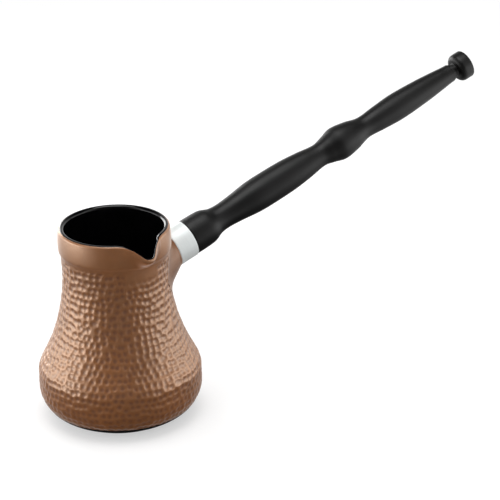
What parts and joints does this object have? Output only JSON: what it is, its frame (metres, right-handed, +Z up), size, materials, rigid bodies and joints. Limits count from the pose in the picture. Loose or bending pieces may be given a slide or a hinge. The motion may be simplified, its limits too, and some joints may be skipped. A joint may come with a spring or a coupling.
{
  "type": "coffee pot",
  "caption": "Bell-shaped coffee pot with a hammered copper-coloured outside, black glazed inside, a side spout and a long turned black handle on a metal collar, for brewing on a hob.",
  "frame": {"origin": "centre of the base, on the face that stands on the table", "axes": "+Z up along the pot's axis, +X towards the handle, -Y towards the spout"},
  "size_m": [0.2753, 0.087, 0.155],
  "materials": {
    "copper_finish": "satin",
    "black_glaze": "gloss",
    "black_foot": "matte",
    "brass_bush": "satin",
    "fibre_washer": "matte",
    "satin_collar": "satin",
    "black_wood": "satin",
    "steel_rod": "satin",
    "steel_washer": "satin",
    "black_knob": "satin"
  },
  "bodies": {
    "root": {"pot_body": "copper_finish", "inner_glaze": "black_glaze", "base_foot": "black_foot", "boss_bush": "brass_bush", "heat_washer": "fibre_washer", "collar": "satin_collar", "grip": "black_wood", "tie_rod": "steel_rod", "end_washer": "steel_washer", "end_knob": "black_knob", "knob_bush": "brass_bush"}
  },
  "joints": []
}
